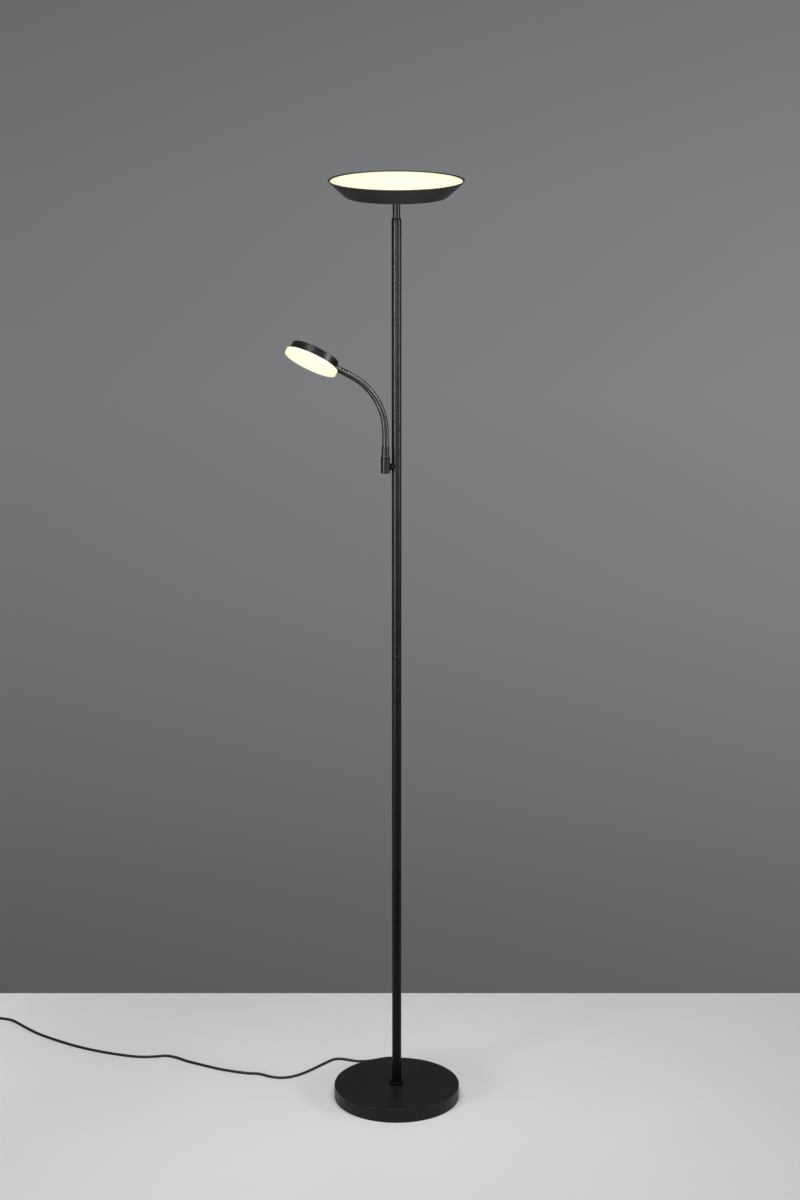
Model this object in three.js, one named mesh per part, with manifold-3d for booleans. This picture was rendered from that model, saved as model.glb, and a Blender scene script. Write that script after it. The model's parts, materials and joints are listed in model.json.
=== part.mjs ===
// Torchiere floor lamp with a flexible reading arm, in millimetres, +Z up.
// The origin is the middle of the base's underside. The bowl lights upwards at the top of a slim pole,
// and the arm stands on the pole's left, turned a little towards the front (-Y).
import * as THREE from 'three';
import { mergeVertices } from 'three/addons/utils/BufferGeometryUtils.js';
import Module from 'manifold-3d';

const wasm = await Module();
wasm.setup();

// ---------------------------------------------------------------- driving dimensions

const GAP = 0.3; // clearance between pieces that touch

const HEIGHT = 1800;
const BASE_RADIUS = 122;
const BASE_HEIGHT = 28;
const SHEET = 1.6; // wall of the pressed steel base cover
const POLE_RADIUS = 9;
const POLE_WALL = 1;
const NIPPLE_RADIUS = 5; // M10 threaded tube
const NIPPLE_BORE = 3.4;
const NUT_FLATS = 14;
const WASHER_RADIUS = 11;
const FOOT_NIPPLE_TOP = 62;
const LEAD_RADIUS = 1.6; // the inner wires, as one bundle
const SIDES = 24; // facets round a slim piece
const BIG_SIDES = 40; // facets round the base, the bowl and the head

const COLLAR_RADIUS = 13.5;
const COLLAR_HEIGHT = 6;
const POLE_FOOT = BASE_HEIGHT + COLLAR_HEIGHT + 2 * GAP;
const READER_RING_FOOT = 1340;
const BOWL_RING_FOOT = 1356.2;
const RINGS_TOP = 1377;
const POLE_TOP = 1726.3;

const BOWL_FLOOR = 1770;
const BOWL_FLOOR_RADIUS = 92.5;
const BOWL_SLOPE = 1.2; // radius gained per millimetre of height at the floor
const BOWL_CURL = 0.0045; // how much of that slope is lost on the way up
const BOWL_WALL = 1.5;
const NECK_RADIUS = 7;

const ARM_TURN = 35; // degrees from the pole's left towards the front
const ARM_REACH = 25; // pole axis to holder axis
const STUB_HEIGHT = 1270.2;
const STUB_RADIUS = 3.5;
const LINK_RADIUS = 6.2; // the sleeve on the stub between pole and holder
const HOLDER_RADIUS = 8.6;
const HOLDER_FOOT = 1260.2;
const HOLDER_TOP = 1289.4;
const HOLDER_BORE = 5;
const FERRULE_TOP = 1310;

const HOSE_RADIUS = 6.1;
const HOSE_BORE = 3;
const HOSE_PLANE = 8.6; // degrees from the left towards the front of the plane that the hose bends in
const HOSE_RISE = 26.9; // straight stretch above the ferrule
const HOSE_BEND = 123.6; // radius of the bend
const HOSE_SWEEP = 60.2; // degrees of the bend
const HOSE_REACH = 33.8; // straight stretch after the bend, up to the reading head
const HOSE_JOINTS = 8; // places where the hose model bends

const HEAD_RADIUS = 46.1;
const HEAD_HEIGHT = 15.5;
const HEAD_WALL = 1.6;
const HEAD_ROLL = 19.1; // degrees that the head is turned about the hose's end, face towards the front
const HEAD_DROP = 7.5; // hose axis above the seam between casing and diffuser
const GLOW_RADIUS = 50.6;
const GLOW_HEIGHT = 9.5;

const CORD_RADIUS = 2.5;
const EXIT_HEIGHT = 9;
const RELIEF_END = 147;
const COIL_CENTRE = [-880, 361];
const COIL_OUTER = 37.8;
const COIL_INNER = 17.6;
const COIL_TOP = 10.8;

// Where the mains cord lies between its strain relief and its coil: the middle of the cord.
const CORD_ROUTE = [
  [0, 147.3, 9],
  [0, 152, 8.7],
  [-1.6, 160, 7.4],
  [-6.2, 166.8, 5.8],
  [-13, 171.4, 4.3],
  [-21, 173, 3.3],
  [-30, 171.4, 2.8],
  [-42, 166, 2.6],
  [-62, 159.5, 2.6],
  [-82, 160.5, 2.6],
  [-100, 167, 2.6],
  [-109.4, 170.1, 2.6],
  [-115.6, 171.2, 2.6],
  [-121.9, 170.4, 2.6],
  [-127.7, 167.7, 2.6],
  [-132.4, 163.5, 2.6],
  [-157, 134.5, 2.6],
  [-180, 108, 2.6],
  [-203, 88.5, 2.6],
  [-227, 80.5, 2.6],
  [-251, 85.5, 2.6],
  [-273, 98.5, 2.6],
  [-300, 102.5, 2.6],
  [-348, 119, 2.6],
  [-385, 138.5, 2.6],
  [-423, 161, 2.6],
  [-447, 179, 2.6],
  [-466, 186, 2.6],
  [-489, 182, 2.6],
  [-515, 180.5, 2.6],
  [-546, 187, 2.6],
  [-596, 205, 2.6],
  [-646, 230, 2.6],
  [-699, 266, 2.6],
  [-740, 300, 2.6],
  [-768, 331, 2.6],
  [-800, 366, 2.6],
  [-822, 374, 2.6],
  [-836, 380.5, 2.6],
  [-849.2, 387.2, 2.6],
];

// ---------------------------------------------------------------- materials

function material(colour, roughness, metalness) {
  return new THREE.MeshStandardMaterial({ color: colour, roughness, metalness });
}

const powderBlack = material(0x1d1d1e, 0.75, 0.1);
const satinBlack = material(0x2a2a2c, 0.42, 0.6);
const castIron = material(0x3a3a3c, 0.8, 0.6);
const steel = material(0xb4b6b8, 0.35, 1);
const zincSteel = material(0xa5a8aa, 0.45, 1);
const aluminium = material(0xc9cbcd, 0.4, 1);
const foam = material(0x151515, 0.95, 0);
const boardWhite = material(0xeeeeea, 0.5, 0);
const boardGreen = material(0x1f5a38, 0.5, 0);
const driverWhite = material(0xe4e4e0, 0.5, 0);
const opal = material(0xfff4dc, 0.35, 0);
const blackPlastic = material(0x161617, 0.5, 0);
const blackVinyl = material(0x121213, 0.55, 0);
const brass = material(0xc7a35a, 0.35, 1);
const leadWhite = material(0xd9d9d4, 0.5, 0);

// ---------------------------------------------------------------- shape helpers

const rad = THREE.MathUtils.degToRad;
const UP = new THREE.Vector3(0, 0, 1);

// A body turned about Z from [radius, height] points that run clockwise, seen with radius to the right.
function turned(profile, sides = SIDES) {
  const points = profile.map(([radius, height]) => new THREE.Vector2(radius, height));
  return new THREE.LatheGeometry(points, sides).rotateX(Math.PI / 2);
}

// A plain ring or tube about Z.
function ring(outer, inner, foot, top, sides = SIDES) {
  return turned([[inner, foot], [outer, foot], [outer, top], [inner, top], [inner, foot]], sides);
}

// A plain disc about Z.
function disc(radius, foot, top, sides = BIG_SIDES) {
  return turned([[0, foot], [radius, foot], [radius, top], [0, top]], sides);
}

function block(width, depth, height, x, y, z) {
  return new THREE.BoxGeometry(width, depth, height).translate(x, y, z);
}

function hexNut(flats, boreRadius, foot, height) {
  const corner = flats / Math.sqrt(3);
  const shape = new THREE.Shape();
  for (let i = 0; i < 6; i += 1) {
    const angle = rad(60 * i);
    shape[i ? 'lineTo' : 'moveTo'](corner * Math.cos(angle), corner * Math.sin(angle));
  }
  shape.closePath();
  const bore = new THREE.Path();
  bore.absarc(0, 0, boreRadius, 0, 2 * Math.PI, true);
  shape.holes.push(bore);
  const settings = { depth: height, bevelEnabled: false, curveSegments: 20 };
  return new THREE.ExtrudeGeometry(shape, settings).translate(0, 0, foot);
}

// A round rod along a smooth curve through the points.
function rod(points, radius, sides, steps) {
  const places = points.map((p) => new THREE.Vector3(...p));
  const curve = new THREE.CatmullRomCurve3(places, false, 'centripetal');
  const section = new THREE.Shape();
  for (let i = 0; i < sides; i += 1) {
    const angle = (2 * Math.PI * i) / sides;
    section[i ? 'lineTo' : 'moveTo'](radius * Math.cos(angle), radius * Math.sin(angle));
  }
  section.closePath();
  return new THREE.ExtrudeGeometry(section, { steps, bevelEnabled: false, extrudePath: curve });
}

function solidOf(geometry) {
  const plain = geometry.clone();
  plain.deleteAttribute('normal');
  plain.deleteAttribute('uv');
  const merged = mergeVertices(plain, 1e-4);
  const vertProperties = merged.attributes.position.array;
  const triVerts = new Uint32Array(merged.index.array);
  return new wasm.Manifold(new wasm.Mesh({ numProp: 3, vertProperties, triVerts }));
}

function geometryOf(solid) {
  const { vertProperties, triVerts } = solid.getMesh();
  const geometry = new THREE.BufferGeometry();
  geometry.setAttribute('position', new THREE.BufferAttribute(vertProperties, 3));
  geometry.setIndex(new THREE.BufferAttribute(triVerts, 1));
  geometry.computeVertexNormals();
  return geometry;
}

function cut(geometry, ...tools) {
  return geometryOf(tools.reduce((solid, tool) => solid.subtract(solidOf(tool)), solidOf(geometry)));
}

function join(geometry, ...others) {
  return geometryOf(others.reduce((solid, other) => solid.add(solidOf(other)), solidOf(geometry)));
}

const lamp = new THREE.Group();

function piece(name, geometry, finish, parent = lamp) {
  const mesh = new THREE.Mesh(geometry, finish);
  mesh.name = name;
  parent.add(mesh);
  return mesh;
}

// A group whose Z axis points along a direction, with its origin at a place.
function aimed(place, direction, parent = lamp) {
  const group = new THREE.Group();
  group.position.copy(place);
  group.quaternion.setFromUnitVectors(UP, direction.clone().normalize());
  parent.add(group);
  return group;
}

// ---------------------------------------------------------------- base

function addBase() {
  const wallRadius = BASE_RADIUS - SHEET;
  const ceiling = BASE_HEIGHT - SHEET;
  const nippleHole = NIPPLE_RADIUS + GAP;
  const weightBore = NIPPLE_RADIUS + 0.5;
  const padTop = 1.6;
  const coverFoot = 0.6;
  piece('base_pad', disc(BASE_RADIUS - 4, 0, padTop), foam);

  const cover = turned([
    [nippleHole, ceiling],
    [wallRadius, ceiling],
    [wallRadius, coverFoot],
    [BASE_RADIUS, coverFoot],
    [BASE_RADIUS, BASE_HEIGHT - 1.6],
    [BASE_RADIUS - 0.5, BASE_HEIGHT - 0.5],
    [BASE_RADIUS - 1.6, BASE_HEIGHT],
    [nippleHole, BASE_HEIGHT],
    [nippleHole, ceiling],
  ], BIG_SIDES);
  const cordHole = new THREE.CylinderGeometry(5.2, 5.2, 20, 20).translate(0, BASE_RADIUS, 0);
  piece('base_cover', cut(cover, cordHole.translate(0, 0, EXIT_HEIGHT)), powderBlack);

  // The weight has a boss that backs the cover's middle, a recess for the nut and a channel for the leads.
  const recessTop = 13.6;
  const recessRadius = 17;
  const weightRadius = wallRadius - 6;
  const weightTop = 16;
  const weight = turned([
    [weightBore, recessTop],
    [recessRadius, recessTop],
    [recessRadius, padTop + GAP],
    [weightRadius, padTop + GAP],
    [weightRadius, weightTop],
    [24, weightTop],
    [22, ceiling - GAP],
    [weightBore, ceiling - GAP],
    [weightBore, recessTop],
  ], BIG_SIDES);
  piece('base_weight', cut(weight, block(14, 112, 12, 0, 66, 7)), castIron);

  const washerFoot = 11.6;
  const nutHeight = 3.2;
  const nutFoot = washerFoot - 0.4 - nutHeight;
  piece('foot_washer', ring(WASHER_RADIUS, nippleHole, washerFoot, washerFoot + 1.6), zincSteel);
  piece('foot_nut', hexNut(NUT_FLATS, nippleHole, nutFoot, nutHeight), zincSteel);
  piece('foot_nipple', ring(NIPPLE_RADIUS, NIPPLE_BORE, nutFoot - 0.5, FOOT_NIPPLE_TOP, 16), zincSteel);
  piece('pole_collar', turned([
    [nippleHole, BASE_HEIGHT + GAP],
    [COLLAR_RADIUS, BASE_HEIGHT + GAP],
    [COLLAR_RADIUS, BASE_HEIGHT + COLLAR_HEIGHT - 1.4],
    [COLLAR_RADIUS - 0.4, BASE_HEIGHT + COLLAR_HEIGHT - 0.4],
    [COLLAR_RADIUS - 1.4, BASE_HEIGHT + COLLAR_HEIGHT],
    [nippleHole, BASE_HEIGHT + COLLAR_HEIGHT],
    [nippleHole, BASE_HEIGHT + GAP],
  ]), satinBlack);
}

// ---------------------------------------------------------------- pole and dimmer rings

function addPole() {
  const inner = POLE_RADIUS - POLE_WALL;
  const plug = inner - GAP;
  const third = (READER_RING_FOOT - GAP - POLE_FOOT) / 3;
  const seams = [POLE_FOOT, POLE_FOOT + third, POLE_FOOT + 2 * third];
  const stubHole = new THREE.CylinderGeometry(STUB_RADIUS + 0.4, STUB_RADIUS + 0.4, 12, 16)
    .translate(0, POLE_RADIUS, 0)
    .rotateZ(rad(90 + ARM_TURN))
    .translate(0, 0, STUB_HEIGHT);

  const footInsert = ring(plug, NIPPLE_RADIUS + GAP, POLE_FOOT + 1, FOOT_NIPPLE_TOP + 6);
  piece('foot_insert', footInsert, zincSteel);
  piece('pole_lower', ring(POLE_RADIUS, inner, seams[0], seams[1] - GAP), satinBlack);
  piece('pole_middle', ring(POLE_RADIUS, inner, seams[1], seams[2] - GAP), satinBlack);
  const upper = ring(POLE_RADIUS, inner, seams[2], READER_RING_FOOT - GAP);
  piece('pole_upper', cut(upper, stubHole), satinBlack);
  piece('pole_top', ring(POLE_RADIUS, inner, RINGS_TOP + GAP, POLE_TOP), satinBlack);
  const insertReach = 30; // into the tube on each side of a seam
  ['joint_insert_lower', 'joint_insert_upper'].forEach((name, i) => {
    const seam = seams[i + 1];
    piece(name, ring(plug, 5.2, seam - insertReach, seam + insertReach), zincSteel);
  });

  // The core joins the tubes on each side of the rings, and the rings turn on its slim middle.
  const spindle = 6.4;
  const ringBore = spindle + 0.4;
  const coreBore = 3.7;
  const coreFoot = READER_RING_FOOT - 28;
  const coreTop = RINGS_TOP + 28;
  const shoulders = [READER_RING_FOOT - 0.6, RINGS_TOP + 0.6];
  piece('dimmer_core', turned([
    [coreBore, coreFoot],
    [plug, coreFoot],
    [plug, shoulders[0]],
    [spindle, shoulders[0]],
    [spindle, shoulders[1]],
    [plug, shoulders[1]],
    [plug, coreTop],
    [coreBore, coreTop],
    [coreBore, coreFoot],
  ]), aluminium);
  const ringsMiddle = (READER_RING_FOOT + RINGS_TOP) / 2;
  piece('dimmer_board', block(6, 1.2, 42, 0, 0, ringsMiddle), boardGreen);
  const readerRing = ring(POLE_RADIUS, ringBore, READER_RING_FOOT, BOWL_RING_FOOT - GAP);
  piece('dimmer_ring_reader', readerRing, satinBlack);
  piece('dimmer_ring_bowl', ring(POLE_RADIUS, ringBore, BOWL_RING_FOOT, RINGS_TOP), satinBlack);
}

// A length of lead that stands on the pole's axis.
function straightLead(foot, top) {
  const lead = new THREE.CylinderGeometry(LEAD_RADIUS, LEAD_RADIUS, top - foot, 6);
  return lead.rotateX(Math.PI / 2).translate(0, 0, (foot + top) / 2);
}

// The lead runs in from the strain relief, under the threaded tube and up the pole to the dimmers.
function addSupplyLead() {
  const turn = rod([
    [0, 116, EXIT_HEIGHT],
    [0, 60, EXIT_HEIGHT],
    [0, 30, 8],
    [0, 16, 5.6],
    [0, 8, 4.2],
    [0, 3, 4.1],
    [0, 0.4, 6.6],
    [0, 0, 11],
    [0, 0, 30],
  ], LEAD_RADIUS, 6, 30);
  piece('supply_lead', join(turn, straightLead(28, 1336)), leadWhite);
}

// ---------------------------------------------------------------- bowl

// The bowl's outer radius at a height.
function bowlRadius(height) {
  const rise = height - BOWL_FLOOR;
  return BOWL_FLOOR_RADIUS + BOWL_SLOPE * rise - BOWL_CURL * rise * rise;
}

function addBowl() {
  const nippleHole = NIPPLE_RADIUS + GAP;
  const floorTop = BOWL_FLOOR + BOWL_WALL;
  const plug = POLE_RADIUS - POLE_WALL - GAP;
  const bushFoot = 1700;
  const bushTop = 1731.4;

  piece('neck_bush', turned([
    [nippleHole, bushFoot],
    [plug, bushFoot],
    [plug, POLE_TOP + GAP],
    [POLE_RADIUS, POLE_TOP + GAP],
    [POLE_RADIUS, bushTop - 1.8],
    [NECK_RADIUS + 0.4, bushTop],
    [nippleHole, bushTop],
    [nippleHole, bushFoot],
  ]), satinBlack);
  piece('bowl_neck', ring(NECK_RADIUS, 5.7, bushTop + GAP, BOWL_FLOOR - GAP), satinBlack);
  piece('bowl_nipple', ring(NIPPLE_RADIUS, NIPPLE_BORE, bushFoot - 4, BOWL_FLOOR + 8, 16), zincSteel);

  const rise = [0, 0.25, 0.5, 0.75, 1].map((share) => BOWL_FLOOR + share * (HEIGHT - BOWL_FLOOR));
  const sideStep = 2.15; // the wall, measured level
  const outside = rise.map((height) => [bowlRadius(height), height]);
  const inside = rise.slice(1).reverse().map((height) => [bowlRadius(height) - sideStep, height]);
  piece('bowl', turned([
    [nippleHole, BOWL_FLOOR],
    ...outside,
    ...inside,
    [bowlRadius(floorTop) - sideStep - 0.4, floorTop],
    [nippleHole, floorTop],
    [nippleHole, BOWL_FLOOR],
  ], BIG_SIDES), powderBlack);
  const washerTop = floorTop + 1.7;
  piece('bowl_washer', ring(WASHER_RADIUS, nippleHole, floorTop + GAP, washerTop), zincSteel);
  piece('bowl_nut', hexNut(NUT_FLATS, nippleHole, washerTop + GAP, 3.8), zincSteel);

  const driverHeight = 9;
  const driverMiddle = floorTop + GAP + driverHeight / 2;
  piece('bowl_driver', block(84, 30, driverHeight, 0, 45, driverMiddle), driverWhite);
  piece('reader_driver', block(56, 24, driverHeight, 0, -40, driverMiddle), driverWhite);
  const overNut = rod([
    [0, 0, BOWL_FLOOR - 1],
    [0, 0, BOWL_FLOOR + 4],
    [0, 1, BOWL_FLOOR + 9],
    [0, 6, BOWL_FLOOR + 12],
    [0, 14, BOWL_FLOOR + 12],
    [0, 22, BOWL_FLOOR + 9],
    [0, 29.6, BOWL_FLOOR + 7],
  ], LEAD_RADIUS, 6, 12);
  piece('bowl_lead', join(straightLead(RINGS_TOP + 4, BOWL_FLOOR + 1), overNut), leadWhite);

  // The LED plate stands on three legs, each with a screw down its middle.
  const plateFoot = BOWL_FLOOR + 16;
  const plateTop = plateFoot + 1.5;
  const legRadius = 84;
  const legPlaces = [90, 210, 330].map((angle) => [
    legRadius * Math.cos(rad(angle)),
    legRadius * Math.sin(rad(angle)),
  ]);
  const legs = legPlaces.map(([x, y]) => disc(4.5, floorTop + GAP, plateFoot + 0.5, 16).translate(x, y, 0));
  const bores = legPlaces.map(([x, y]) => disc(2, floorTop - 1, plateTop + 1, 12).translate(x, y, 0));
  piece('led_plate', cut(join(disc(104, plateFoot, plateTop), ...legs), ...bores), aluminium);
  legPlaces.forEach(([x, y], i) => {
    const screw = turned([
      [0, floorTop + 1],
      [1.6, floorTop + 1],
      [1.6, plateTop + GAP],
      [3.5, plateTop + GAP],
      [3.1, plateTop + 2],
      [0, plateTop + 2.4],
    ], 16).translate(x, y, 0);
    piece(`plate_screw_${i + 1}`, screw, steel);
  });
  const boardFoot = plateTop + GAP;
  const boardTop = boardFoot + 1.5;
  const chips = [];
  for (let i = 0; i < 18; i += 1) {
    const angle = rad(20 * i);
    const radius = i % 2 ? 38 : 62;
    chips.push(block(3, 3, 1, radius * Math.cos(angle), radius * Math.sin(angle), boardTop + 0.3));
  }
  const board = ring(74, 26, boardFoot, boardTop, 32);
  piece('bowl_led_board', join(board, ...chips), boardWhite);

  // The opal disc's edge is bevelled to sit in the sloping mouth.
  const discTop = HEIGHT - 1.6;
  const discFoot = discTop - 2.6;
  const seat = sideStep + 0.6;
  piece('bowl_diffuser', turned([
    [0, discFoot],
    [bowlRadius(discFoot) - seat, discFoot],
    [bowlRadius(discTop) - seat, discTop],
    [0, discTop + 0.8],
  ], BIG_SIDES), opal);
}

// ---------------------------------------------------------------- reading arm

// The hose's middle at a distance from the ferrule's top, as [outwards, height], with its lean in radians.
function hoseAt(distance) {
  const bendLength = HOSE_BEND * rad(HOSE_SWEEP);
  const lean = THREE.MathUtils.clamp((distance - HOSE_RISE) / HOSE_BEND, 0, rad(HOSE_SWEEP));
  const before = Math.min(distance, HOSE_RISE);
  const after = Math.max(distance - HOSE_RISE - bendLength, 0);
  const outwards = HOSE_BEND * (1 - Math.cos(lean)) + after * Math.sin(lean);
  const height = before + HOSE_BEND * Math.sin(lean) + after * Math.cos(lean);
  return { outwards, height: FERRULE_TOP + height, lean };
}

const hoseLength = HOSE_RISE + HOSE_BEND * rad(HOSE_SWEEP) + HOSE_REACH;
const holderPlace = new THREE.Vector3(-Math.cos(rad(ARM_TURN)), -Math.sin(rad(ARM_TURN)), 0)
  .multiplyScalar(ARM_REACH);
const outwards = new THREE.Vector3(-Math.cos(rad(HOSE_PLANE)), -Math.sin(rad(HOSE_PLANE)), 0);

function hosePlace(distance) {
  const at = hoseAt(distance);
  return holderPlace.clone().addScaledVector(outwards, at.outwards).addScaledVector(UP, at.height);
}

// A length of hose about Z, hollow, with coned ends that leave room to bend.
function hoseSection(length, footCone, topCone) {
  const endGap = 0.25;
  const cone = (HOSE_RADIUS - HOSE_BORE) * Math.tan(rad(16));
  const inset = HOSE_BORE * Math.tan(rad(16)) + endGap;
  const foot = footCone ? inset : 0;
  const top = length - (topCone ? inset : 0);
  return turned([
    [HOSE_BORE, foot],
    [HOSE_RADIUS, foot + (footCone ? cone : 0)],
    [HOSE_RADIUS, top - (topCone ? cone : 0)],
    [HOSE_BORE, top],
    [HOSE_BORE, foot],
  ], 16);
}

function addHose() {
  const pitch = hoseLength / HOSE_JOINTS;
  const socket = FERRULE_TOP - HOLDER_TOP - GAP; // hidden in the ferrule
  const foot = holderPlace.clone().setZ(FERRULE_TOP - socket);
  piece('gooseneck_0', hoseSection(socket + pitch / 2, false, true), satinBlack, aimed(foot, UP));
  for (let i = 1; i <= HOSE_JOINTS; i += 1) {
    const last = i === HOSE_JOINTS;
    const start = hosePlace((i - 0.5) * pitch);
    const end = last ? hosePlace(hoseLength) : hosePlace((i + 0.5) * pitch);
    const run = end.clone().sub(start);
    const length = run.length() - (last ? 0.5 : 0);
    piece(`gooseneck_${i}`, hoseSection(length, true, !last), satinBlack, aimed(start, run));
  }
}

// A cylinder in a stub's frame, upright in the lamp, at a distance along the stub.
function uprightTool(stub, radius, distance) {
  const upright = UP.clone().applyQuaternion(stub.quaternion.clone().invert());
  const along = new THREE.Vector3(0, 1, 0);
  return new THREE.CylinderGeometry(radius, radius, 30, 32)
    .applyQuaternion(new THREE.Quaternion().setFromUnitVectors(along, upright))
    .translate(0, 0, distance);
}

function addArm() {
  const stubRun = holderPlace.clone().normalize();
  const stub = aimed(new THREE.Vector3(0, 0, STUB_HEIGHT), stubRun);
  const stubFoot = 3;
  const stubHole = STUB_RADIUS + GAP;
  piece('arm_stub', ring(STUB_RADIUS, 2, stubFoot, ARM_REACH - HOLDER_RADIUS + 3, 16), satinBlack, stub);
  piece('arm_nut', hexNut(8.6, stubHole, stubFoot + 0.2, 2.4), zincSteel, stub);

  // The sleeve's ends follow the round pole and the round holder.
  const sleeve = ring(LINK_RADIUS, stubHole, 6, ARM_REACH - 5, SIDES);
  const poleTool = uprightTool(stub, POLE_RADIUS + GAP, 0);
  const holderTool = uprightTool(stub, HOLDER_RADIUS + GAP, ARM_REACH);
  piece('arm_sleeve', cut(sleeve, poleTool, holderTool), satinBlack, stub);

  const boreFoot = HOLDER_FOOT + 3;
  const barrel = turned([
    [0, HOLDER_FOOT],
    [HOLDER_RADIUS - 0.6, HOLDER_FOOT],
    [HOLDER_RADIUS, HOLDER_FOOT + 0.6],
    [HOLDER_RADIUS, HOLDER_TOP - 0.4],
    [HOLDER_RADIUS - 0.4, HOLDER_TOP],
    [HOLDER_BORE, HOLDER_TOP],
    [HOLDER_BORE, boreFoot],
    [0, boreFoot],
  ]).translate(holderPlace.x, holderPlace.y, 0);
  const sideHole = new THREE.CylinderGeometry(stubHole, stubHole, 10, 16)
    .rotateX(Math.PI / 2)
    .translate(0, 0, ARM_REACH - HOLDER_RADIUS + 1)
    .applyQuaternion(stub.quaternion)
    .translate(0, 0, STUB_HEIGHT);
  piece('arm_holder', cut(barrel, sideHole), satinBlack);

  const hoseHole = HOSE_RADIUS + GAP;
  const ferrule = turned([
    [hoseHole, HOLDER_TOP + GAP],
    [7.6, HOLDER_TOP + GAP],
    [7.2, HOLDER_TOP + 8],
    [6.9, FERRULE_TOP],
    [hoseHole, FERRULE_TOP],
    [hoseHole, HOLDER_TOP + GAP],
  ]).translate(holderPlace.x, holderPlace.y, 0);
  piece('holder_ferrule', ferrule, satinBlack);
}

function addHead() {
  const end = hosePlace(hoseLength);
  const lean = rad(HOSE_SWEEP);
  const along = outwards.clone().multiplyScalar(Math.sin(lean)).addScaledVector(UP, Math.cos(lean));
  const flatFace = outwards.clone().multiplyScalar(Math.cos(lean)).addScaledVector(UP, -Math.sin(lean));
  const side = along.clone().cross(flatFace);
  const roll = rad(HEAD_ROLL);
  const face = flatFace.multiplyScalar(Math.cos(roll)).addScaledVector(side, Math.sin(roll));
  const middle = end.addScaledVector(along, HEAD_RADIUS).addScaledVector(face, HEAD_DROP);
  const head = aimed(middle, face.clone().negate());

  piece('reader_casing', turned([
    [HEAD_RADIUS - HEAD_WALL, GAP],
    [HEAD_RADIUS, GAP],
    [HEAD_RADIUS, HEAD_HEIGHT - 1.2],
    [HEAD_RADIUS - 0.4, HEAD_HEIGHT - 0.4],
    [HEAD_RADIUS - 1.2, HEAD_HEIGHT],
    [0, HEAD_HEIGHT],
    [0, HEAD_HEIGHT - HEAD_WALL],
    [HEAD_RADIUS - HEAD_WALL, HEAD_HEIGHT - HEAD_WALL],
    [HEAD_RADIUS - HEAD_WALL, GAP],
  ], BIG_SIDES), satinBlack, head);
  const board = disc(HEAD_RADIUS - HEAD_WALL - 1, HEAD_HEIGHT - 4.4, HEAD_HEIGHT - 2);
  piece('reader_led_board', board, boardWhite, head);
  piece('reader_diffuser', turned([
    [0, -GLOW_HEIGHT],
    [GLOW_RADIUS - 1.5, -GLOW_HEIGHT],
    [GLOW_RADIUS - 0.4, -GLOW_HEIGHT + 0.5],
    [GLOW_RADIUS, -GLOW_HEIGHT + 1.6],
    [GLOW_RADIUS, 0],
    [HEAD_RADIUS - 6, 0],
    [HEAD_RADIUS - 6, -1.6],
    [GLOW_RADIUS - 2.2, -1.6],
    [GLOW_RADIUS - 2.2, -GLOW_HEIGHT + 2.2],
    [0, -GLOW_HEIGHT + 2.2],
  ], BIG_SIDES), opal, head);
}

// ---------------------------------------------------------------- mains cord

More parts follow.
